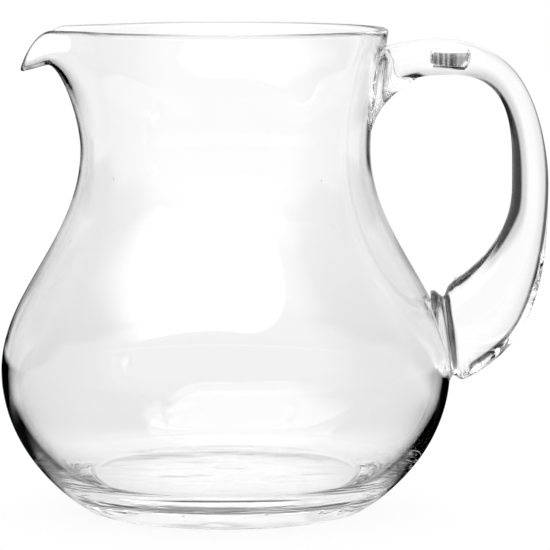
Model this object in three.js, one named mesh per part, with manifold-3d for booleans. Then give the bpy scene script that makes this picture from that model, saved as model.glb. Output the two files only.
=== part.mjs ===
// Glass pitcher: a blown body with a pulled spout and a heavy base, and a loop handle that is
// drawn from a second gather of glass and fused to the body at both ends.
// Millimetres. +Z is up, the body's axis is Z and it stands on the plane Z = 0.
// The spout points along -X and the handle stands out along +X.
import * as THREE from "three";
import Module from "manifold-3d";

// Outside of the body, from the table up
const footRadius = 53; // where the bowl would meet the table as a sharp edge
const footEdge = 2; // length of the rounding on each side of that edge
const bowlRadius = 86.5; // widest section
const bowlHeight = 54;
const neckRadius = 55.7; // narrowest section
const neckHeight = 139;
const rimRadius = 62.4;
const rimHeight = 185;
const bowlFullness = 30; // how far the bowl runs straight up before it turns in
const neckFullness = 34; // how far the neck runs straight down before it turns out
const flareStart = 16; // straight run of the neck below the flare
const flareEnd = 14; // straight run of the flare below the rim
const flareLean = 8; // degrees from upright at the rim

// Thickness of the glass
const wallThickness = 2.3;
const rimThickness = 3; // fire polishing gathers the rim into a slight bead
const rimBeadHeight = 6; // how far down the wall the bead fades out
const baseThickness = 11;
const floorRadius = 60; // where the floor would meet the wall as a sharp edge
const floorEdge = 9; // length of the rounding on each side of the floor's edge

// Spout, pulled out of the neck and folded over
const spoutReach = 16.8; // tip of the lip beyond the rim's circle
const spoutDrop = 16.5; // tip of the lip below the rim
const throatRise = 12; // straight run of the throat above the neck
const lipBend = 5; // how softly the throat turns into the lip
const lipLength = 9.5;
const lipSlope = 15; // degrees below level
const spoutSpread = 38; // degrees each side over which the wall leans out
const lipSpread = 21; // degrees each side over which the rim comes down

// Handle: the middle line of the strap, from the neck over the crest and down to the bowl
const handleRootDrop = 14; // below the rim
const handleCrestRun = 28.3; // the upper sweep is drawn towards a point this far out from the neck
const handleCrestRise = 6;
const handleShoulderRise = 11; // and towards one this far above the root, over the grip
const handleReach = 30.3; // beyond the widest part of the bowl
const handleTailRise = 12.2; // lower end above the widest part of the bowl
const handleGripRise = 58.8; // furthest point of the grip above the lower end
const handleGripRun = 36; // straight run of the grip below that
const handleTailRun = 12; // straight run into the lower seat

// Handle: oval sections of the strap, thickness in the plane of the loop and width across it
const strapThickness = 14;
const strapWidth = 16;
const thinThickness = 10.8; // drawn thinnest where it turns down
const thinDistance = 55; // from the neck
const thinSpread = 38;
const rootFillet = 20; // the upper seat runs this far down the neck below the strap
const rootWidth = 25;
const rootLength = 16;
const tailThickness = 37.5; // the lower seat is the heavy end of the gather
const tailWidth = 26;
const tailLength = 68;
const tailRound = 6; // its end is rounded over this length before it meets the bowl
const tailTuck = 0.1; // share of the section that the rounding takes off at the bowl
const handleSeatDepth = 4; // the strap is drawn this far past the wall before it is trimmed
const sealGap = 0.3; // left between the body and the handle where the glass is fused

// Fineness of the mesh
const columnCount = 64;
const spoutCrowding = 0.5; // columns lie closer at the spout and wider at the handle
const bowlSteps = 11;
const shoulderSteps = 9;
const neckSteps = 13;
const beadSteps = 4;
const edgeSteps = 3;
const handleSteps = 54;
const seatCrowding = 0.75; // sections lie closer at the two seats
const handleSides = 24;

const radians = THREE.MathUtils.degToRad;
const point2 = (radius, height) => new THREE.Vector2(radius, height);

const columnAngles = Array.from({ length: columnCount }, (_, column) => {
  const turn = (2 * Math.PI * column) / columnCount;
  return turn - spoutCrowding * Math.sin(turn);
});

// A point of the body at an angle that counts from the spout's side, -X.
function around(radius, height, angle) {
  return new THREE.Vector3(-radius * Math.cos(angle), -radius * Math.sin(angle), height);
}

const levelRing = (p) => columnAngles.map((angle) => around(p.x, p.y, angle));

// Points along a quarter ellipse that hangs from (radius, bowlHeight) and passes through the point low.
function hangingEllipse(radius, low, steps) {
  const lowAngle = Math.acos(low.x / radius);
  const depth = (bowlHeight - low.y) / Math.sin(lowAngle);
  const arc = new THREE.EllipseCurve(0, bowlHeight, radius, depth, -lowAngle, 0);
  return arc.getSpacedPoints(steps);
}

// The corner at the start of a line of points, rounded off against the level line that leads to it.
function roundedStart(line, edge) {
  const curve = new THREE.SplineCurve(line);
  const onLine = curve.getPointAt(edge / curve.getLength());
  const onLevel = point2(line[0].x - edge, line[0].y);
  const corner = new THREE.QuadraticBezierCurve(onLevel, line[0], onLine);
  return [...corner.getPoints(edgeSteps), ...line.filter((p) => p.distanceTo(line[0]) > edge * 1.3)];
}

// The thin wall: bowl to neck, then neck to rim as it is blown and as the spout's middle line.
const shoulder = new THREE.CubicBezierCurve(
  point2(bowlRadius, bowlHeight),
  point2(bowlRadius, bowlHeight + bowlFullness),
  point2(neckRadius, neckHeight - neckFullness),
  point2(neckRadius, neckHeight),
);
const rimLine = rimHeight - rimThickness / 2; // the wall ends here, and the bead goes on above it
const flareRun = point2(Math.sin(radians(flareLean)), Math.cos(radians(flareLean)));
const flareTop = point2(rimRadius, rimLine);
const flare = new THREE.CubicBezierCurve(
  point2(neckRadius, neckHeight),
  point2(neckRadius, neckHeight + flareStart),
  flareTop.clone().addScaledVector(flareRun, -flareEnd),
  flareTop,
);
const lipRun = point2(Math.cos(radians(lipSlope)), -Math.sin(radians(lipSlope)));
const lipTip = point2(rimRadius + spoutReach - rimThickness / 2, rimHeight - spoutDrop);
const lipStart = lipTip.clone().addScaledVector(lipRun, -lipLength);
const spoutLine = new THREE.CurvePath();
spoutLine.add(
  new THREE.CubicBezierCurve(
    point2(neckRadius, neckHeight),
    point2(neckRadius, neckHeight + throatRise),
    lipStart.clone().addScaledVector(lipRun, -lipBend),
    lipStart,
  ),
);
spoutLine.add(new THREE.LineCurve(lipStart, lipTip));

// 1 on the spout's middle line, 0 past the given number of degrees to either side.
function spoutShare(angle, degrees) {
  const off = Math.abs(Math.atan2(Math.sin(angle), Math.cos(angle)));
  return off < radians(degrees) ? Math.cos(((Math.PI / 2) * off) / radians(degrees)) ** 2 : 0;
}

// Outside of the thin wall. Up runs from 0 at the bowl to 1 at the neck and 2 at the rim.
function wallPoint(up, angle) {
  if (up <= 1) {
    const p = shoulder.getPointAt(Math.max(up, 0));
    return around(p.x, p.y, angle);
  }
  const blown = flare.getPointAt(Math.min(up - 1, 1));
  const pulled = spoutLine.getPointAt(Math.min(up - 1, 1));
  const radius = THREE.MathUtils.lerp(blown.x, pulled.x, spoutShare(angle, spoutSpread));
  const height = THREE.MathUtils.lerp(blown.y, pulled.y, spoutShare(angle, lipSpread));
  return around(radius, height, angle);
}

// Directions on the thin wall: along it towards the rim, and out of the glass.
function wallFrame(up, angle) {
  const step = 1e-3;
  const low = wallPoint(Math.max(up - step, 0), angle);
  const rise = wallPoint(Math.min(up + step, 2), angle).sub(low).normalize();
  const turn = wallPoint(up, angle + step).sub(wallPoint(up, angle - step)).normalize();
  return { rise, outward: turn.cross(rise).normalize() };
}

function wallThicknessAt(up) {
  const below = (2 - Math.max(up, 1)) * flare.getLength();
  const bead = 1 - THREE.MathUtils.smoothstep(below, 0, rimBeadHeight);
  return THREE.MathUtils.lerp(wallThickness, rimThickness, bead);
}

// A ring of the thin wall, moved out of the glass by a distance that depends on the height.
function wallRing(up, shift) {
  return columnAngles.map((angle) => {
    const { outward } = wallFrame(up, angle);
    return wallPoint(up, angle).addScaledVector(outward, shift(up));
  });
}

// The rim's round edge, from the outside over to the inside.
function beadRing(share) {
  const swing = Math.PI * share;
  const radius = rimThickness / 2;
  return columnAngles.map((angle) => {
    const { rise, outward } = wallFrame(2, angle);
    return wallPoint(2, angle)
      .addScaledVector(outward, radius * (Math.cos(swing) - 1))
      .addScaledVector(rise, radius * Math.sin(swing));
  });
}

const inOrder = (count, make) => Array.from({ length: count }, (_, index) => make(index));
const wallHeights = [
  ...inOrder(shoulderSteps, (index) => (index + 1) / shoulderSteps),
  ...inOrder(neckSteps, (index) => 1 + (index + 1) / neckSteps),
];

// Rings up the outside, from the table to the rim, with a clearance all over for a neighbour.
function outsideRings(clearance) {
  const bowl = hangingEllipse(bowlRadius, point2(footRadius, 0), bowlSteps);
  const grown = roundedStart(bowl, footEdge).map((p) => point2(p.x + clearance, p.y));
  return [...grown.map(levelRing), ...wallHeights.map((up) => wallRing(up, () => clearance))];
}

// Rings down the inside, from the rim to the floor.
function insideRings() {
  const bowl = hangingEllipse(bowlRadius - wallThickness, point2(floorRadius, baseThickness), bowlSteps);
  const floor = roundedStart(bowl, floorEdge);
  const wall = wallHeights.map((up) => wallRing(up, (height) => -wallThicknessAt(height)));
  return [...wall.reverse(), ...floor.reverse().map(levelRing)];
}

// Closed surface through a stack of rings with equal numbers of points, its ends closed to their middles.
function loft(rings) {
  const count = rings[0].length;
  const points = rings.flat();
  const triangles = [];
  rings.slice(1).forEach((_, index) => {
    for (let j = 0; j < count; j++) {
      const next = (j + 1) % count;
      const low = index * count;
      const high = low + count;
      triangles.push(low + j, low + next, high + next, low + j, high + next, high + j);
    }
  });
  const last = (rings.length - 1) * count;
  const middle = (ring) => ring.reduce((sum, p) => sum.add(p), new THREE.Vector3()).divideScalar(count);
  points.push(middle(rings[0]), middle(rings.at(-1)));
  for (let j = 0; j < count; j++) {
    const next = (j + 1) % count;
    triangles.push(points.length - 2, next, j);
    triangles.push(points.length - 1, last + j, last + next);
  }
  return new THREE.BufferGeometry().setFromPoints(points).setIndex(triangles);
}

function bodyGeometry() {
  const bead = inOrder(beadSteps - 1, (index) => beadRing((index + 1) / beadSteps));
  return loft([...outsideRings(0), ...bead, ...insideRings()]);
}

const handleRootHeight = rimHeight - handleRootDrop;
const handleTailHeight = bowlHeight + handleTailRise;

// The strap's middle line, in the plane of the spout and the handle.
function handleLine() {
  const flat = (x, z) => new THREE.Vector3(x, 0, z);
  const rootRadius = wallRadiusAt(handleRootHeight);
  const tailRadius = wallRadiusAt(handleTailHeight);
  const gripRadius = bowlRadius + handleReach;
  const gripHeight = handleTailHeight + handleGripRise;
  const root = flat(rootRadius - handleSeatDepth, handleRootHeight);
  const crest = flat(rootRadius + handleCrestRun, handleRootHeight + handleCrestRise);
  const overGrip = flat(gripRadius, handleRootHeight + handleShoulderRise);
  const grip = flat(gripRadius, gripHeight);
  const underGrip = flat(gripRadius, gripHeight - handleGripRun);
  const tailStart = flat(tailRadius - handleSeatDepth + handleTailRun, handleTailHeight);
  const tail = flat(tailRadius - handleSeatDepth, handleTailHeight);
  const line = new THREE.CurvePath();
  line.add(new THREE.CubicBezierCurve3(root, crest, overGrip, grip));
  line.add(new THREE.CubicBezierCurve3(grip, underGrip, tailStart, tail));
  return line;
}

// Radius of the body's outside at a height, away from the spout.
function wallRadiusAt(height) {
  const away = Math.PI;
  let low = 0;
  let high = 2;
  for (let halving = 0; halving < 30; halving++) {
    const mid = (low + high) / 2;
    if (wallPoint(mid, away).z < height) low = mid;
    else high = mid;
  }
  return wallPoint(low, away).x;
}

// Falls from 1 to 0 along a hollow curve, as a fillet does.
function hollowFall(share) {
  const hollow = 0.6;
  return (1 - share ** hollow) ** (1 / hollow);
}

// Half sizes of the strap's section at a distance from the neck, on a strap that is length long.
function strapSection(along, length) {
  const off = Math.min(Math.abs(along - thinDistance) / thinSpread, 1);
  const thin = Math.cos((Math.PI / 2) * off) ** 2;
  const root = hollowFall(THREE.MathUtils.clamp(along / rootLength, 0, 1));
  const tail = THREE.MathUtils.smoothstep(along, length - tailLength, length);
  const tuck = THREE.MathUtils.clamp(1 - (length - along) / tailRound, 0, 1);
  const round = 1 - tailTuck * tuck ** 2;
  const drawnThin = (thinThickness - strapThickness) * thin;
  const thickness = strapThickness + drawnThin + (tailThickness - strapThickness) * tail;
  const width = strapWidth + (rootWidth - strapWidth) * root + (tailWidth - strapWidth) * tail;
  return {
    inner: (thickness / 2) * round + rootFillet * root,
    outer: (thickness / 2) * round,
    side: (width / 2) * round,
  };
}

function handleGeometry() {
  const line = handleLine();
  const length = line.getLength() - 2 * handleSeatDepth;
  const across = new THREE.Vector3(0, 1, 0);
  const seatLow = handleRootHeight - strapThickness / 2 - rootFillet;
  const seatLean = wallRadiusAt(seatLow) - wallRadiusAt(handleRootHeight);
  const downNeck = new THREE.Vector3(seatLean, 0, seatLow - handleRootHeight).normalize();
  const rings = inOrder(handleSteps + 1, (index) => {
    const even = index / handleSteps;
    const share = even - (seatCrowding * Math.sin(2 * Math.PI * even)) / (2 * Math.PI);
    const along = share * line.getLength() - handleSeatDepth;
    const { inner, outer, side } = strapSection(along, length);
    const centre = line.getPointAt(share);
    const square = across.clone().cross(line.getTangentAt(share)).normalize();
    const leaning = THREE.MathUtils.smoothstep(along, 0, rootLength);
    const inward = downNeck.clone().lerp(square, leaning).normalize();
    return inOrder(handleSides, (corner) => {
      const swing = (2 * Math.PI * corner) / handleSides;
      const towards = Math.cos(swing);
      return centre
        .clone()
        .addScaledVector(inward, towards * (towards > 0 ? inner : outer))
        .addScaledVector(across, side * Math.sin(swing));
    });
  });
  return trimmed(loft(rings), loft(outsideRings(sealGap)));
}

const wasm = await Module();
wasm.setup();

function solidOf(geometry) {
  const vertProperties = geometry.getAttribute("position").array;
  const triVerts = new Uint32Array(geometry.index.array);
  return new wasm.Manifold(new wasm.Mesh({ numProp: 3, vertProperties, triVerts }));
}

// What is left of a solid outside a neighbour.
function trimmed(geometry, neighbour) {
  const mesh = solidOf(geometry).subtract(solidOf(neighbour)).getMesh();
  return new THREE.BufferGeometry()
    .setAttribute("position", new THREE.BufferAttribute(mesh.vertProperties, 3))
    .setIndex(new THREE.BufferAttribute(mesh.triVerts, 1));
}

const clearGlass = () =>
  new THREE.MeshStandardMaterial({
    color: 0xf4f6f5,
    roughness: 0.02,
    metalness: 0,
    transparent: true,
    opacity: 0.35,
  });

function named(name, geometry) {
  geometry.computeVertexNormals();
  const mesh = new THREE.Mesh(geometry, clearGlass());
  mesh.name = name;
  return mesh;
}

const pitcher = new THREE.Group();
pitcher.add(named("blown_body", bodyGeometry()));
pitcher.add(named("handle", handleGeometry()));

export default pitcher;
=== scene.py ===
import math
import bpy
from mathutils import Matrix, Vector
from mathutils.geometry import interpolate_bezier
from mathutils.kdtree import KDTree


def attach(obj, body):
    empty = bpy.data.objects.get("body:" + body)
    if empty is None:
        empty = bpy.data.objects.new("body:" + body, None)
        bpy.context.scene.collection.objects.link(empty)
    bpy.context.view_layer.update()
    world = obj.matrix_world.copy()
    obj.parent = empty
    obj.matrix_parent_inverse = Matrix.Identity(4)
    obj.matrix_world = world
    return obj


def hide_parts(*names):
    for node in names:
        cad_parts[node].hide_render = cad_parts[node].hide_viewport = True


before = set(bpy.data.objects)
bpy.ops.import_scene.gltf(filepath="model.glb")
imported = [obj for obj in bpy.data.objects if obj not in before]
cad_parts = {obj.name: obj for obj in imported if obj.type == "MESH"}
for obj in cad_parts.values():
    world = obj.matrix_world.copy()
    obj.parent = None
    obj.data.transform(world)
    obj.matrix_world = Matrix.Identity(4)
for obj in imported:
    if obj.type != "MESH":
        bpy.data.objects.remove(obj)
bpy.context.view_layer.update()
scene = bpy.context.scene
print("frame loaded with", sorted(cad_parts))


# Camera, in front of the pitcher and turned a little towards the handle
photoCamera = {
    "turn": math.radians(3),
    "aimOut": 0.01897,  # the aim lies this far towards the handle
    "aimHeight": 0.0902,
    "distance": 1.43,
    "height": 0.2453,
    "focalPixels": 3733,
    "picturePixels": 550,
    "sensorWidth": 36,
    "clipStart": 0.01,
}

def makeCamera(s):
    sine, cosine = math.sin(s["turn"]), math.cos(s["turn"])
    aim = Vector((s["aimOut"] * cosine, s["aimOut"] * sine, s["aimHeight"]))
    place = Vector((aim.x + s["distance"] * sine, aim.y - s["distance"] * cosine, s["height"]))
    bpy.ops.object.camera_add(location=place)
    camera = bpy.context.object
    camera.name = "photo_camera"
    camera.rotation_euler = (aim - place).to_track_quat("-Z", "Y").to_euler()
    camera.data.sensor_width = s["sensorWidth"]
    camera.data.lens = s["focalPixels"] / s["picturePixels"] * s["sensorWidth"]
    camera.data.clip_start = s["clipStart"]
    scene.camera = camera

makeCamera(photoCamera)
print("camera set")


# Lines of points that the pieces are drawn along
fineCount = 1500
tiny = 1e-6  # shorter lengths count as none

def bezierLine(points):
    return interpolate_bezier(*[Vector((x, 0, z)) for x, z in points], fineCount)

def lineLengths(line):
    lengths = [0.0]
    for a, b in zip(line, line[1:]):
        lengths.append(lengths[-1] + (b - a).length)
    return lengths

def evenLine(line, count):
    lengths = lineLengths(line)
    points, place = [], 0
    for step in range(count + 1):
        goal = lengths[-1] * step / count
        while place < len(line) - 2 and lengths[place + 1] < goal:
            place += 1
        share = (goal - lengths[place]) / (lengths[place + 1] - lengths[place])
        points.append(line[place].lerp(line[place + 1], share))
    return points

def pointAt(line, share):
    spot = min(max(share, 0), 1) * (len(line) - 1)
    low = min(int(spot), len(line) - 2)
    return line[low].lerp(line[low + 1], spot - low)

def smoothStep(value, low, high):
    t = min(max((value - low) / (high - low), 0), 1)
    return t * t * (3 - 2 * t)

def mix(a, b, share):
    return a + (b - a) * share

def deselectAll():
    for o in bpy.context.selected_objects:
        o.select_set(False)


# Blown body: a profile spun round the axis, then the spout pulled out of the neck
body = {
    "footRadius": 0.053,
    "footEdge": 0.002,
    "bowlRadius": 0.0865,
    "bowlHeight": 0.054,
    "neckRadius": 0.0557,
    "neckHeight": 0.139,
    "rimRadius": 0.0624,
    "rimHeight": 0.185,
    "bowlFullness": 0.030,
    "neckFullness": 0.034,
    "flareStart": 0.016,
    "flareEnd": 0.014,
    "flareLean": math.radians(8),
    "wall": 0.0023,
    "bowlWall": 0.0026,
    "thinWallUp": 0.8,  # from here up the wall has its plain thickness
    "rimBead": 0.003,
    "beadFade": 0.014,
    "baseThickness": 0.011,
    "floorRadius": 0.060,
    "floorEdge": 0.009,
    "spoutReach": 0.0168,
    "spoutDrop": 0.0165,
    "throatRise": 0.012,
    "lipBend": 0.005,
    "lipLength": 0.0095,
    "lipSlope": math.radians(15),
    "spoutSpread": math.radians(38),
    "lipSpread": math.radians(21),
    "spoutThinning": 0.45,  # the pulled glass is this much thinner
    "thinningUps": (1.5, 1.95),  # between these heights of the wall, counted as in wallPoint
    "pullMargin": 0.004,  # the pull is looked for from this far below the neck
    "spinSteps": 256,
    "discShares": (0, 0.3, 0.6, 0.85),  # rings on the base and on the floor
    "footRings": 6,
    "bowlRings": 56,
    "shoulderRings": 36,
    "flareRings": 40,
    "beadRings": 10,
    "floorEdgeRings": 8,
    "arcCount": 800,
    "cornerGap": 1.15,  # the first ring past a rounded corner, as a share of the corner
}
rimLine = body["rimHeight"] - body["rimBead"] / 2

shoulderLine = evenLine(bezierLine((
    (body["bowlRadius"], body["bowlHeight"]),
    (body["bowlRadius"], body["bowlHeight"] + body["bowlFullness"]),
    (body["neckRadius"], body["neckHeight"] - body["neckFullness"]),
    (body["neckRadius"], body["neckHeight"]))), fineCount)

flareLine = evenLine(bezierLine((
    (body["neckRadius"], body["neckHeight"]),
    (body["neckRadius"], body["neckHeight"] + body["flareStart"]),
    (body["rimRadius"] - math.sin(body["flareLean"]) * body["flareEnd"],
     rimLine - math.cos(body["flareLean"]) * body["flareEnd"]),
    (body["rimRadius"], rimLine))), fineCount)

def drawSpout(s):
    run = Vector((math.cos(s["lipSlope"]), 0, -math.sin(s["lipSlope"])))
    tip = Vector((s["rimRadius"] + s["spoutReach"] - s["rimBead"] / 2, 0, s["rimHeight"] - s["spoutDrop"]))
    lip = tip - run * s["lipLength"]
    bend = lip - run * s["lipBend"]
    throat = bezierLine((
        (s["neckRadius"], s["neckHeight"]),
        (s["neckRadius"], s["neckHeight"] + s["throatRise"]),
        (bend.x, bend.z), (lip.x, lip.z)))
    return evenLine(throat + [tip], fineCount)

spoutLine = drawSpout(body)

def around(radius, height, angle):  # the angle counts from the spout's side, -X
    return Vector((-radius * math.cos(angle), -radius * math.sin(angle), height))

def spoutShare(angle, spread):
    off = abs(math.atan2(math.sin(angle), math.cos(angle)))
    return math.cos(math.pi / 2 * off / spread) ** 2 if off < spread else 0

# Outside of the thin wall: up is 0 at the bowl, 1 at the neck and 2 at the rim
def wallPoint(up, angle):
    if up <= 1:
        p = pointAt(shoulderLine, up)
        return around(p.x, p.z, angle)
    blown, pulled = pointAt(flareLine, up - 1), pointAt(spoutLine, up - 1)
    radius = mix(blown.x, pulled.x, spoutShare(angle, body["spoutSpread"]))
    height = mix(blown.z, pulled.z, spoutShare(angle, body["lipSpread"]))
    return around(radius, height, angle)

def wallFrame(up, angle):
    step, turn = 0.01, 0.004
    rise = (wallPoint(min(up + step, 2), angle) - wallPoint(max(up - step, 0), angle)).normalized()
    across = wallPoint(up, angle + turn) - wallPoint(up, angle - turn)
    return rise, across.cross(rise).normalized()

flareLength = lineLengths(flareLine)[-1]

def wallAt(up):
    below = (2 - max(up, 1)) * flareLength
    plain = mix(body["bowlWall"], body["wall"], smoothStep(up, 0, body["thinWallUp"]))
    return mix(body["rimBead"], plain, smoothStep(below, 0, body["beadFade"]))

def hangingEllipse(radius, lowRadius, lowHeight, count):
    lowAngle = math.acos(lowRadius / radius)
    depth = (body["bowlHeight"] - lowHeight) / math.sin(lowAngle)
    arc = []
    for i in range(body["arcCount"] + 1):
        angle = lowAngle * (1 - i / body["arcCount"])
        arc.append(Vector((radius * math.cos(angle), 0, body["bowlHeight"] - depth * math.sin(angle))))
    return evenLine(arc, count)

def roundedStart(line, edge, count):  # the corner rounded off against the level line that leads to it
    lengths = lineLengths(line)
    on = pointAt(line, edge / lengths[-1])
    start = Vector((line[0].x - edge, 0, line[0].z))
    corner = []
    for i in range(count + 1):
        t = i / count
        corner.append(start * (1 - t) ** 2 + line[0] * 2 * t * (1 - t) + on * t * t)
    return corner + [p for p, l in zip(line, lengths) if l > edge * body["cornerGap"]]

# The whole profile, from the middle of the base up the outside, over the rim and down to the floor.
# Each row: point, up (None below the bowl's widest ring), depth in the glass, rise over the rim line
wallUps = [(i + 1) / body["shoulderRings"] for i in range(body["shoulderRings"])]
wallUps += [1 + (i + 1) / body["flareRings"] for i in range(body["flareRings"])]

def outsideRows(s):
    bowl = hangingEllipse(s["bowlRadius"], s["footRadius"], 0, s["bowlRings"])
    outside = roundedStart(bowl, s["footEdge"], s["footRings"])
    rows = [(Vector((outside[0].x * share, 0, 0)), None, 0, 0) for share in s["discShares"]]
    rows += [(p, None, 0, 0) for p in outside]
    rows += [(None, up, 0, 0) for up in wallUps]
    return rows

def bodyProfile(s):
    rows = outsideRows(s)
    half = s["rimBead"] / 2
    for i in range(1, s["beadRings"]):
        swing = math.pi * i / s["beadRings"]
        rows.append((None, 2, half * (1 - math.cos(swing)), half * math.sin(swing)))
    rows += [(None, up, wallAt(up), 0) for up in reversed(wallUps)]
    insideRadius = s["bowlRadius"] - s["bowlWall"]
    bowl = hangingEllipse(insideRadius, s["floorRadius"], s["baseThickness"], s["bowlRings"])
    inside = roundedStart(bowl, s["floorEdge"], s["floorEdgeRings"])
    rows += [(p, None, 0, 0) for p in reversed(inside)]
    for share in reversed(s["discShares"]):
        rows.append((Vector((inside[0].x * share, 0, s["baseThickness"])), None, 0, 0))
    return rows

def onWall(up, depth, over, angle):
    rise, outward = wallFrame(up, angle)
    pulled = spoutShare(angle, body["spoutSpread"]) * smoothStep(up, *body["thinningUps"])
    left = 1 - body["spoutThinning"] * pulled
    return wallPoint(up, angle) - outward * depth * left + rise * over * left

def drawLine(points):  # one vertex drawn out into a line, point by point
    deselectAll()
    bpy.ops.mesh.primitive_plane_add(size=0.001, location=points[0])
    bpy.ops.object.mode_set(mode="EDIT")
    bpy.ops.mesh.merge(type="CENTER")
    for a, b in zip(points, points[1:]):
        bpy.ops.mesh.extrude_region_move(TRANSFORM_OT_translate={"value": b - a})
    bpy.ops.mesh.select_all(action="SELECT")

def spinLine(name, points, steps):
    drawLine(points)
    bpy.ops.mesh.spin(steps=steps, angle=2 * math.pi, center=(0, 0, 0), axis=(0, 0, 1), use_auto_merge=True)
    bpy.ops.mesh.select_all(action="SELECT")
    bpy.ops.mesh.remove_doubles(threshold=tiny)
    bpy.ops.mesh.normals_make_consistent(inside=False)
    bpy.ops.object.mode_set(mode="OBJECT")
    piece = bpy.context.object
    piece.name = piece.data.name = name
    bpy.ops.object.transform_apply(location=True, rotation=True, scale=True)
    return piece

def makeBody(s):
    rows = bodyProfile(s)
    points = []
    for p, up, depth, over in rows:  # drawn on the side away from the spout
        points.append(p if up is None else onWall(up, depth, over, math.pi))
    piece = spinLine("blown_glass_body", points, s["spinSteps"])
    find = KDTree(len(points))
    for i, p in enumerate(points):
        find.insert((p.x, 0, p.z), i)
    find.balance()
    for v in piece.data.vertices:  # the spout is pulled out of the neck, and its wall drawn thinner
        if v.co.z < s["neckHeight"] - s["pullMargin"]:
            continue
        _, i, _ = find.find((math.hypot(v.co.x, v.co.y), 0, v.co.z))
        _, up, depth, over = rows[i]
        if up is not None and up > 1:
            v.co = onWall(up, depth, over, math.atan2(-v.co.y, -v.co.x))
    piece.data.update()
    bpy.ops.object.shade_smooth()
    return piece

pitcherBody = makeBody(body)
print("body spun and spout pulled,", len(pitcherBody.data.polygons), "faces")


# Handle: a tube shaped along its line and cut to sit in the wall at both ends
handle = {
    "rootDrop": 0.014,
    "crestRun": 0.0283,
    "crestRise": 0.006,
    "shoulderRise": 0.011,
    "reach": 0.0303,
    "tailRise": 0.0122,
    "gripRise": 0.0588,
    "gripRun": 0.036,
    "tailRun": 0.012,
    "thickness": 0.014,
    "width": 0.016,
    "thinThickness": 0.0108,
    "thinDistance": 0.055,
    "thinSpread": 0.038,
    "rootFillet": 0.020,
    "rootWidth": 0.025,
    "rootLength": 0.016,
    "rootHollow": 0.6,  # below 1 the glass runs hollow into the wall
    "tailThickness": 0.0375,
    "tailWidth": 0.026,
    "tailLength": 0.068,
    "tailTurn": 0.024,  # over this length the sections turn to lie along the wall
    "tailLean": 0.5,  # share of the wall's lean
    "grooveDistance": 0.001,  # a groove runs round the lower end, close to the wall
    "grooveSpread": 0.0019,
    "grooveThickness": 0.18,
    "grooveWidth": 0.42,
    "seatDepth": 0.004,
    "seatSink": 0.00015,  # how far the ends are fused into the wall
    "plugLow": 0.034,
    "bubblePlace": 0.176,  # a long bubble is shut in under the crest, at this share of the strap's line
    "bubbleDrop": 0.0006,
    "bubbleRadius": 0.0022,
    "bubbleLength": 0.0155,
    "bubbleSides": 32,
    "bubbleRings": 20,
    "bubbleStep": 0.02,  # shares of the line, for which way it runs
    "tangentStep": 0.002,
    "sides": 48,
    "rings": 96,
    "seatCrowding": 0.75,  # how far the rings draw together at the ends
    "creaseAngle": math.radians(40),
}
handleRootHeight = body["rimHeight"] - handle["rootDrop"]
handleTailHeight = body["bowlHeight"] + handle["tailRise"]

def wallRadiusAt(height):
    low, high = 0, 2
    for _ in range(40):  # halving the wall
        middle = (low + high) / 2
        if wallPoint(middle, math.pi).z < height:
            low = middle
        else:
            high = middle
    return wallPoint(low, math.pi).x

def drawHandle(s):
    rootRadius, tailRadius = wallRadiusAt(handleRootHeight), wallRadiusAt(handleTailHeight)
    gripRadius, gripHeight = body["bowlRadius"] + s["reach"], handleTailHeight + s["gripRise"]
    upper = bezierLine((
        (rootRadius - s["seatDepth"], handleRootHeight),
        (rootRadius + s["crestRun"], handleRootHeight + s["crestRise"]),
        (gripRadius, handleRootHeight + s["shoulderRise"]),
        (gripRadius, gripHeight)))
    lower = bezierLine((
        (gripRadius, gripHeight),
        (gripRadius, gripHeight - s["gripRun"]),
        (tailRadius - s["seatDepth"] + s["tailRun"], handleTailHeight),
        (tailRadius - s["seatDepth"], handleTailHeight)))
    return evenLine(upper + lower[1:], 2 * fineCount)

def hollowFall(share, hollow):
    return (1 - share ** hollow) ** (1 / hollow)

def strapSection(s, along, length):
    off = min(abs(along - s["thinDistance"]) / s["thinSpread"], 1)
    thin = math.cos(math.pi / 2 * off) ** 2
    root = hollowFall(min(max(along / s["rootLength"], 0), 1), s["rootHollow"])
    tail = smoothStep(along, length - s["tailLength"], length)
    groove = math.exp(-((length - along - s["grooveDistance"]) / s["grooveSpread"]) ** 2)
    low, slim = 1 - s["grooveThickness"] * groove, 1 - s["grooveWidth"] * groove
    thickness = s["thickness"] + (s["thinThickness"] - s["thickness"]) * thin
    thickness += (s["tailThickness"] - s["thickness"]) * tail
    width = s["width"] + (s["rootWidth"] - s["width"]) * root + (s["tailWidth"] - s["width"]) * tail
    return thickness / 2 * low + s["rootFillet"] * root, thickness / 2 * low, width / 2 * slim

def lineWay(line, share, step):  # which way the line runs
    return (pointAt(line, share + step) - pointAt(line, share - step)).normalized()

def makeBubble(s, line):
    place = pointAt(line, s["bubblePlace"]) - Vector((0, 0, s["bubbleDrop"]))
    along = lineWay(line, s["bubblePlace"], s["bubbleStep"])
    deselectAll()
    bpy.ops.mesh.primitive_uv_sphere_add(segments=s["bubbleSides"], ring_count=s["bubbleRings"],
                                         radius=s["bubbleRadius"], location=(0, 0, 0))
    bubble = bpy.context.object
    half = s["bubbleLength"] / 2 - s["bubbleRadius"]
    for v in bubble.data.vertices:
        if abs(v.co.z) > tiny:
            v.co.z += math.copysign(half, v.co.z)
    bubble.rotation_euler = along.to_track_quat("Z", "Y").to_euler()
    bubble.location = place
    bpy.ops.object.transform_apply(location=True, rotation=True, scale=True)
    return bubble

def cutAway(piece, tool, name):
    deselectAll()
    bpy.context.view_layer.objects.active = piece
    piece.select_set(True)
    cut = piece.modifiers.new(name, "BOOLEAN")
    cut.operation = "DIFFERENCE"
    cut.solver = "MANIFOLD"
    cut.object = tool
    bpy.ops.object.modifier_apply(modifier=name)
    bpy.data.objects.remove(tool, do_unlink=True)

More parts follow.
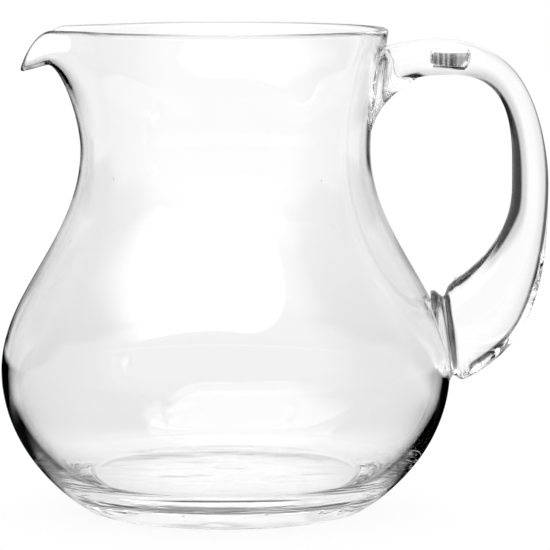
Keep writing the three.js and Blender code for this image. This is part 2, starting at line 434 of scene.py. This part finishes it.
def makeTube(s):  # straight and one unit long, with its side edges cut into rings
    deselectAll()
    bpy.ops.mesh.primitive_cylinder_add(vertices=s["sides"], radius=1, depth=1, location=(0, 0, 0))
    piece = bpy.context.object
    bpy.ops.object.mode_set(mode="EDIT")
    bpy.ops.mesh.select_mode(type="EDGE")
    bpy.ops.mesh.select_all(action="DESELECT")
    bpy.ops.object.mode_set(mode="OBJECT")
    for e in piece.data.edges:
        a, b = (piece.data.vertices[i].co for i in e.vertices)
        e.select = abs(a.z - b.z) > 0.5  # the edges along the tube
    bpy.ops.object.mode_set(mode="EDIT")
    bpy.ops.mesh.subdivide(number_cuts=s["rings"] - 1)
    bpy.ops.mesh.select_mode(type="VERT")
    bpy.ops.object.mode_set(mode="OBJECT")
    return piece

def makePlug(s):  # the outside of the body, sunk a little
    sunk = [Vector((0, 0, s["plugLow"]))]
    for p, up, _, _ in outsideRows(body):
        p = p or onWall(up, s["seatSink"], 0, math.pi)
        if p.z > s["plugLow"]:
            sunk.append(p)
    sunk[1:1] = [Vector((sunk[1].x, 0, s["plugLow"]))]
    sunk.append(Vector((0, 0, sunk[-1].z)))
    return spinLine("seat_plug", sunk, body["spinSteps"])

def makeHandle(s):
    line = drawHandle(s)
    full = lineLengths(line)[-1]
    length = full - 2 * s["seatDepth"]
    seatLow = handleRootHeight - s["thickness"] / 2 - s["rootFillet"]
    downNeck = Vector((wallRadiusAt(seatLow) - wallRadiusAt(handleRootHeight), 0, seatLow - handleRootHeight))
    downNeck.normalize()
    seatHalf = s["tailThickness"] / 2
    lean = wallRadiusAt(handleTailHeight + seatHalf) - wallRadiusAt(handleTailHeight - seatHalf)
    upBowl = Vector((lean * s["tailLean"], 0, 2 * seatHalf))
    upBowl.normalize()

    piece = makeTube(s)
    for v in piece.data.vertices:
        even = v.co.z + 0.5
        share = even - s["seatCrowding"] * math.sin(2 * math.pi * even) / (2 * math.pi)
        along = share * full - s["seatDepth"]
        inner, outer, side = strapSection(s, along, length)
        tangent = lineWay(line, share, s["tangentStep"])
        square = Vector((0, 1, 0)).cross(tangent).normalized()
        inward = downNeck.lerp(square, smoothStep(along, 0, s["rootLength"]))
        inward = inward.lerp(upBowl, smoothStep(along, length - s["tailTurn"], length)).normalized()
        towards = v.co.x
        shift = inward * towards * (inner if towards > 0 else outer)
        v.co = pointAt(line, share) + shift + Vector((0, side * v.co.y, 0))
    bpy.ops.object.mode_set(mode="EDIT")
    bpy.ops.mesh.select_all(action="SELECT")
    bpy.ops.mesh.normals_make_consistent(inside=False)
    bpy.ops.object.mode_set(mode="OBJECT")
    piece.name = piece.data.name = "glass_handle"

    smooth = piece.modifiers.new("smooth", "SUBSURF")
    smooth.levels = smooth.render_levels = 1
    bpy.ops.object.modifier_apply(modifier="smooth")

    # the ends are cut to the wall they are fused into, and a bubble is cut out
    cutAway(piece, makePlug(s), "seats")
    cutAway(piece, makeBubble(s, line), "bubble")
    bpy.ops.object.shade_smooth_by_angle(angle=s["creaseAngle"])
    return piece

pitcherHandle = makeHandle(handle)
bubbleMiddle = pointAt(drawHandle(handle), handle["bubblePlace"])
print("handle shaped and seated,", len(pitcherHandle.data.polygons), "faces")


# Glass: clear and fire polished, with the faint waves of blown glass, ripples on the floor and a few seeds,
# and grey streaks of painted shade in the handle's bubble
clearGlass = {
    "ior": 1.51,
    "waveScale": 26,
    "waveStretch": (1, 1, 2.4),  # waves lie level
    "waveHeight": 0.00018,
    "rippleScale": 75,
    "rippleStretch": (0.8, 1.3, 1),
    "rippleHeight": 0.0002,
    "floorBand": (0.0095, 0.0105, 0.0118, 0.013),  # the ripples lie between these heights
    "seedScale": 48,
    "seedSize": (0.006, 0.024),  # share of the cell that holds it
    "seedHeight": 0.00012,
    "bubbleShadeReach": (0.0088, 0.0034, 0.0034),  # painted shade: grey streaks on the glass round the handle's bubble
    "bubbleShadeScale": 700,
    "bubbleShadeStretch": (1, 0.06, 0.06),
    "bubbleShadeFade": (0.35, 0.65),
    "bubbleShadeGrey": (0.06, 0.42),
    "smearScale": 14,
    "smearFade": (0.5, 0.75),
    "smearRoughness": 0.03,
}

class NodeBench:  # short names for wiring nodes
    def __init__(self, tree):
        self.nodes, self.links = tree.nodes, tree.links

    def put(self, kind, **values):
        node = self.nodes.new(kind)
        for key, value in values.items():
            setattr(node, key, value)
        return node

    def join(self, source, target):
        if isinstance(source, (int, float)):
            target.default_value = source
        else:
            self.links.new(source, target)

    def math(self, operation, a, b=0.0):
        node = self.put("ShaderNodeMath", operation=operation)
        self.join(a, node.inputs[0])
        self.join(b, node.inputs[1])
        node.inputs[2].default_value = 0.5  # how near is alike, for COMPARE
        return node.outputs[0]

    def square(self, value):
        return self.math("MULTIPLY", value, value)

    def rest(self, value):
        return self.math("SUBTRACT", 1.0, value)

    def split(self, vector):
        node = self.put("ShaderNodeSeparateXYZ")
        self.join(vector, node.inputs[0])
        return node.outputs

    def length(self, vector):
        node = self.put("ShaderNodeVectorMath", operation="LENGTH")
        self.join(vector, node.inputs[0])
        return node.outputs["Value"]

    def fade(self, value, low, high):  # 0 below low, 1 above high
        node = self.put("ShaderNodeMapRange", interpolation_type="SMOOTHSTEP")
        self.join(value, node.inputs["Value"])
        node.inputs["From Min"].default_value = low
        node.inputs["From Max"].default_value = high
        return node.outputs["Result"]

    def band(self, value, low, lowFull, highFull, high):  # 1 between the full ends, 0 outside
        return self.math("SUBTRACT", self.fade(value, low, lowFull), self.fade(value, highFull, high))

    def between(self, a, b, share):
        node = self.put("ShaderNodeMix", data_type="FLOAT")
        self.join(share, node.inputs["Factor"])
        self.join(a, node.inputs["A"])
        self.join(b, node.inputs["B"])
        return node.outputs["Result"]

def stretched(bench, source, stretch):
    node = bench.put("ShaderNodeMapping")
    bench.join(source, node.inputs["Vector"])
    node.inputs["Scale"].default_value = stretch
    return node.outputs["Vector"]

def noise(bench, source, scale, detail):
    node = bench.put("ShaderNodeTexNoise")
    bench.join(source, node.inputs["Vector"])
    node.inputs["Scale"].default_value = scale
    node.inputs["Detail"].default_value = detail
    return node.outputs["Fac"]

def makeGlass(name, s, paintedBubbleShade):
    glass = bpy.data.materials.new(name)
    glass.use_nodes = True
    bench = NodeBench(glass.node_tree)
    shader = bench.nodes["Principled BSDF"]
    shader.inputs["IOR"].default_value = s["ior"]
    shader.inputs["Transmission Weight"].default_value = 1
    spot = bench.put("ShaderNodeTexCoord").outputs["Object"]
    waves = noise(bench, stretched(bench, spot, s["waveStretch"]), s["waveScale"], 0)
    height = bench.math("MULTIPLY", waves, s["waveHeight"])
    onFloor = bench.band(bench.split(spot)[2], *s["floorBand"])
    ripples = noise(bench, stretched(bench, spot, s["rippleStretch"]), s["rippleScale"], 1)
    ripples = bench.math("MULTIPLY", bench.math("MULTIPLY", ripples, s["rippleHeight"]), onFloor)
    cells = bench.put("ShaderNodeTexVoronoi")
    bench.join(spot, cells.inputs["Vector"])
    cells.inputs["Scale"].default_value = s["seedScale"]
    seeds = bench.math("MULTIPLY", bench.fade(cells.outputs["Distance"], *s["seedSize"]), s["seedHeight"])
    height = bench.math("ADD", bench.math("ADD", height, ripples), seeds)
    bump = bench.put("ShaderNodeBump")
    bump.inputs["Strength"].default_value = 1
    bump.inputs["Distance"].default_value = 1
    bench.join(height, bump.inputs["Height"])
    bench.join(bump.outputs["Normal"], shader.inputs["Normal"])

    shader.inputs["Base Color"].default_value = (1, 1, 1, 1)
    # Painted shade: round the bubble the handle's base colour is greyed in streaks, standing in for the dark
    # the bubble shows
    if paintedBubbleShade:
        away = bench.put("ShaderNodeMapping", vector_type="TEXTURE")
        bench.join(spot, away.inputs["Vector"])
        away.inputs["Location"].default_value = bubbleMiddle
        away.inputs["Scale"].default_value = s["bubbleShadeReach"]
        outside = bench.math("GREATER_THAN", bench.length(away.outputs["Vector"]), 1.0)
        shadeStreaks = noise(bench, stretched(bench, spot, s["bubbleShadeStretch"]), s["bubbleShadeScale"], 1)
        shadeStreaks = bench.between(*s["bubbleShadeGrey"], bench.fade(shadeStreaks, *s["bubbleShadeFade"]))
        bench.join(bench.between(shadeStreaks, 1.0, outside), shader.inputs["Base Color"])

    smears = bench.fade(noise(bench, spot, s["smearScale"], 1), *s["smearFade"])
    bench.join(bench.math("MULTIPLY", smears, s["smearRoughness"]), shader.inputs["Roughness"])
    return glass

for piece, node, slot in (
        (pitcherBody, "blown_body", "body_glass"),
        (pitcherHandle, "handle", "handle_glass")):
    piece.data.materials.clear()  # the cut leaves an empty slot
    piece.data.materials.append(makeGlass(slot, clearGlass, piece == pitcherHandle))
    for face in piece.data.polygons:
        face.material_index = 0
    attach(piece, "root")
    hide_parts(node)
print("glass on")


# Studio: a pale round table top in a white room, whose darker parts draw the edges of the glass
studio = {
    "hollowDepth": 2.5,  # a ray through more faces than this crosses the hollow body
    "wallDepth": 2.0,  # in and out of one wall, as at the edges of the body
    "mirrorDepth": 0.5,  # above this a ray was mirrored
    "tableRadius": 1.1,
    "tableSides": 96,
    "tableDrop": 0.00005,
    "tableSeen": 1.03,  # seen past the glass
    "shadowShare": 0.2,  # part of the table's white that shadows can take away
    "tableGrey": 0.85,  # through the hollow body the table greys between these distances
    "greyStart": (0.08, 0.16),
    "greyEnd": (0.4, 1.1),
    # in what the glass mirrors
    "tableMirrored": 0.02,
    "nearTurn": (math.radians(72), math.radians(100)),
    "tableTurn": (math.radians(45), math.radians(70)),
    "stripStart": (0.15, 0.25),  # the light strip and sides begin here
    "stripWidth": (0.075, 0.105),
    "tableFar": (0.6, 1.05),  # from here it looks like the wall behind it
    "glowMirrored": 1.0,  # round the base
    "glowRadius": (0.036, 0.06),
    "middleMirrored": 0.7,  # the strip of wall straight behind, near the table
    "middleTurn": (math.radians(7), math.radians(12)),
    "backMirrored": 0.04,  # the dark screens beside it
    "backRise": (-0.06, 0.0),
    "highMirrored": 0.6,  # the wall behind, higher up
    "topMirrored": 1.0,
    "topRise": (0.08, 0.2),
    "sideMirrored": 0.75,
    "sideTurn": (math.radians(23), math.radians(27)),
    "wallTurn": (math.radians(62), math.radians(76)),  # inside the wall the sides are dark from here
    "frontTable": 1.0,  # on the camera's side
    "frontLow": 1.6,
    "frontHigh": 1.15,
    "frontTurn": (math.radians(95), math.radians(130)),
    # through solid glass
    "darkScreen": 0.02,
    "roundGrey": 0.86,  # past the screens
    "roundTurn": (math.radians(64), math.radians(86)),
    "rightScreen": (math.radians(15), math.radians(22), math.radians(66), math.radians(82)),
    "leftScreen": (math.radians(34), math.radians(45), math.radians(68), math.radians(84)),
    "leftLift": math.radians(22),  # it reaches further in, higher up
    "leftRise": (0.15, 0.5),
    "leftGrey": 0.8,
    "leftTurn": (math.radians(8), math.radians(40)),
    "rightGrey": 0.66,
    "rightTurn": (math.radians(1), math.radians(13)),
    "screenMiddle": 0.11,  # on the table the screens stand round the handle
    "screenStart": (0.18, 0.25),
    "screenBack": math.radians(12),  # and turn by this much near the pitcher
    "screenFar": (0.15, 0.7),
    "gripLow": (-0.03, -0.02),  # squares of heights between which a ray left the handle
    "gripHigh": (0.038, 0.044),
    "nearScreen": 0.08,  # close round the base
    "nearReach": (0.1, 0.135),
    # softbox
    "boxPlace": (-0.108, -0.121, 0.3),
    "boxSize": (0.55, 0.392),
    "boxRound": 0.09,
    "boxSoft": 0.012,
    "boxWeak": 0.2,  # how far its left end is weaker
    "boxLevel": 3.0,
}

def rayTests(bench, s):  # did the ray cross the hollow body, or one wall alone, and was it mirrored
    ray = bench.put("ShaderNodeLightPath").outputs
    hollow = bench.math("GREATER_THAN", ray["Transmission Depth"], s["hollowDepth"])
    inWall = bench.math("COMPARE", ray["Transmission Depth"], s["wallDepth"])
    wasMirrored = bench.math("GREATER_THAN", ray["Glossy Depth"], s["mirrorDepth"])
    return ray, hollow, inWall, wasMirrored

def mirroredRound(bench, s, turn, behind, sideTurn, front, inWall, edge):  # from the back round to the front
    wide = bench.math("ABSOLUTE", turn)
    level = bench.between(behind, s["sideMirrored"], bench.fade(wide, *sideTurn))
    wallDark = bench.math("MULTIPLY", inWall, bench.fade(wide, *s["wallTurn"]))
    level = bench.between(level, s["tableMirrored"], wallDark)
    front = bench.between(front, edge, inWall)
    return bench.between(level, front, bench.fade(wide, *s["frontTurn"]))

# Two dark screens behind the pitcher, with a light strip between them
def darkBehind(bench, s, turn, dark, sideTurn, front, inWall, off, limits):
    beside = bench.fade(bench.math("ABSOLUTE", off), *limits)
    behind = bench.between(s["middleMirrored"], dark, beside)
    return mirroredRound(bench, s, turn, behind, sideTurn, front, inWall, dark)

def lowWall(bench, s, turn, inWall):  # the room near the far edge of the table
    return darkBehind(bench, s, turn, s["backMirrored"], s["sideTurn"], s["frontLow"], inWall,
                      turn, s["middleTurn"])

def screens(bench, s, right, left):  # dark to both sides, for the edges of solid glass
    past = bench.fade(bench.math("MAXIMUM", right, left), *s["roundTurn"])
    level = bench.between(1.0, s["roundGrey"], past)
    for angle, screen, grey, greyTurn in (
            (right, s["rightScreen"], s["rightGrey"], s["rightTurn"]),
            (left, s["leftScreen"], s["leftGrey"], s["leftTurn"])):
        level = bench.between(level, grey, bench.band(angle, *greyTurn, *screen[2:]))
        level = bench.between(level, s["darkScreen"], bench.band(angle, *screen))
    return level

def makeTable(s):
    deselectAll()
    bpy.ops.mesh.primitive_circle_add(vertices=s["tableSides"], radius=s["tableRadius"], fill_type="NGON",
                                      location=(0, 0, -s["tableDrop"]))
    table = bpy.context.object
    table.name = "studio_table"
    paint = bpy.data.materials.new("pale_table")
    paint.use_nodes = True
    bench = NodeBench(paint.node_tree)
    shader = bench.nodes["Principled BSDF"]
    grey = s["shadowShare"]
    shader.inputs["Base Color"].default_value = (grey, grey, grey, 1)
    shader.inputs["Roughness"].default_value = 1
    shader.inputs["Specular IOR Level"].default_value = 0
    shader.inputs["Emission Color"].default_value = (1, 1, 1, 1)
    ray, hollow, inWall, wasMirrored = rayTests(bench, s)
    spot = bench.put("ShaderNodeTexCoord").outputs["Object"]
    out = bench.length(spot)
    x, y, _ = bench.split(spot)
    turn = bench.math("ARCTAN2", x, y)  # 0 straight behind the pitcher, positive towards the handle

    # through the hollow body, or through solid glass with the screens
    greyTable = bench.between(1.0, s["tableGrey"], bench.band(out, *s["greyStart"], *s["greyEnd"]))
    drawnBack = bench.math("MULTIPLY", bench.rest(bench.fade(out, *s["screenFar"])), s["screenBack"])
    right = bench.math("ARCTAN2", bench.math("SUBTRACT", x, s["screenMiddle"]), y)
    right = bench.math("SUBTRACT", right, drawnBack)
    left = bench.math("MULTIPLY", right, -1.0)
    grip = bench.math("SUBTRACT", x, body["bowlRadius"] + handle["reach"])
    flat = bench.math("ADD", bench.square(grip), bench.square(y))
    rise = bench.math("SUBTRACT", bench.square(ray["Ray Length"]), flat)
    fromHandle = bench.band(rise, *s["gripLow"], *s["gripHigh"])
    shown = bench.math("MULTIPLY", fromHandle, bench.fade(out, *s["screenStart"]))
    solid = bench.between(1.0, screens(bench, s, right, left), shown)
    solid = bench.between(s["nearScreen"], solid, bench.fade(out, *s["nearReach"]))
    seen = bench.between(solid, greyTable, hollow)

    # in what the glass mirrors
    dark, front = s["tableMirrored"], s["frontTable"]
    mirrored = mirroredRound(bench, s, turn, dark, s["nearTurn"], front, inWall, dark)
    strip = darkBehind(bench, s, turn, dark, s["tableTurn"], front, inWall, x, s["stripWidth"])
    mirrored = bench.between(mirrored, strip, bench.fade(out, *s["stripStart"]))
    far = lowWall(bench, s, turn, inWall)
    mirrored = bench.between(mirrored, far, bench.fade(out, *s["tableFar"]))
    mirrored = bench.between(s["glowMirrored"], mirrored, bench.fade(out, *s["glowRadius"]))

    level = bench.between(seen, mirrored, wasMirrored)
    level = bench.between(level, s["tableSeen"], ray["Is Camera Ray"])
    glow = bench.math("SUBTRACT", level, grey)
    glow = bench.math("MULTIPLY", glow, bench.rest(ray["Is Diffuse Ray"]))
    bench.join(glow, shader.inputs["Emission Strength"])
    table.data.materials.append(paint)

def makeRoom(s):
    room = bpy.data.worlds.new("white_room")
    room.use_nodes = True
    bench = NodeBench(room.node_tree)
    wall = bench.nodes["Background"]
    wall.inputs["Color"].default_value = (1, 1, 1, 1)
    ray, hollow, inWall, wasMirrored = rayTests(bench, s)
    x, y, z = bench.split(bench.put("ShaderNodeTexCoord").outputs["Generated"])
    turn = bench.math("ARCTAN2", x, y)
    solid = bench.math("MULTIPLY", bench.rest(hollow), ray["Is Transmission Ray"])
    lift = bench.math("MULTIPLY", bench.fade(z, *s["leftRise"]), s["leftLift"])
    left = bench.math("SUBTRACT", lift, turn)
    seen = bench.between(1.0, screens(bench, s, turn, left), solid)
    top = bench.math("MAXIMUM", hollow, bench.fade(z, *s["topRise"]))
    behind = bench.between(s["highMirrored"], s["topMirrored"], top)
    high = mirroredRound(bench, s, turn, behind, s["sideTurn"], s["frontHigh"], inWall, behind)
    low = lowWall(bench, s, turn, inWall)
    mirrored = bench.between(low, high, bench.fade(z, *s["backRise"]))
    bench.join(bench.between(seen, mirrored, wasMirrored), wall.inputs["Strength"])
    scene.world = room

def makeSoftbox(s):  # shows in the glass alone, with a soft round edge
    deselectAll()
    bpy.ops.mesh.primitive_plane_add(size=1, location=s["boxPlace"])
    box = bpy.context.object
    box.name = "studio_softbox"
    box.scale = (*s["boxSize"], 1)
    bpy.ops.object.transform_apply(location=False, rotation=False, scale=True)
    paint = bpy.data.materials.new("softbox_cloth")
    paint.use_nodes = True
    bench = NodeBench(paint.node_tree)
    bench.nodes.remove(bench.nodes["Principled BSDF"])
    parts = bench.split(bench.put("ShaderNodeTexCoord").outputs["Object"])
    corner = bench.put("ShaderNodeCombineXYZ")
    for side in (0, 1):
        straight = s["boxSize"][side] / 2 - s["boxRound"]
        over = bench.math("SUBTRACT", bench.math("ABSOLUTE", parts[side]), straight)
        bench.join(bench.math("MAXIMUM", over, 0.0), corner.inputs[side])
    edge = bench.length(corner.outputs[0])
    clear = bench.put("ShaderNodeBsdfTransparent")
    light = bench.put("ShaderNodeEmission")
    light.inputs["Strength"].default_value = s["boxLevel"]
    left = -s["boxSize"][0] / 2
    strong = bench.fade(parts[0], left, left + s["boxWeak"])
    outside = bench.fade(edge, s["boxRound"] - s["boxSoft"], s["boxRound"])
    blend = bench.put("ShaderNodeMixShader")
    bench.join(bench.math("MULTIPLY", strong, bench.rest(outside)), blend.inputs[0])
    bench.join(clear.outputs[0], blend.inputs[1])
    bench.join(light.outputs[0], blend.inputs[2])
    bench.join(blend.outputs[0], bench.nodes["Material Output"].inputs["Surface"])
    box.data.materials.append(paint)
    for kind in ("camera", "diffuse", "shadow", "volume_scatter"):
        setattr(box, "visible_" + kind, False)

makeTable(studio)
makeRoom(studio)
makeSoftbox(studio)
scene.view_settings.view_transform = "Standard"
scene.cycles.max_bounces = 32
scene.cycles.glossy_bounces = 24
scene.cycles.transmission_bounces = 32
print("studio set")
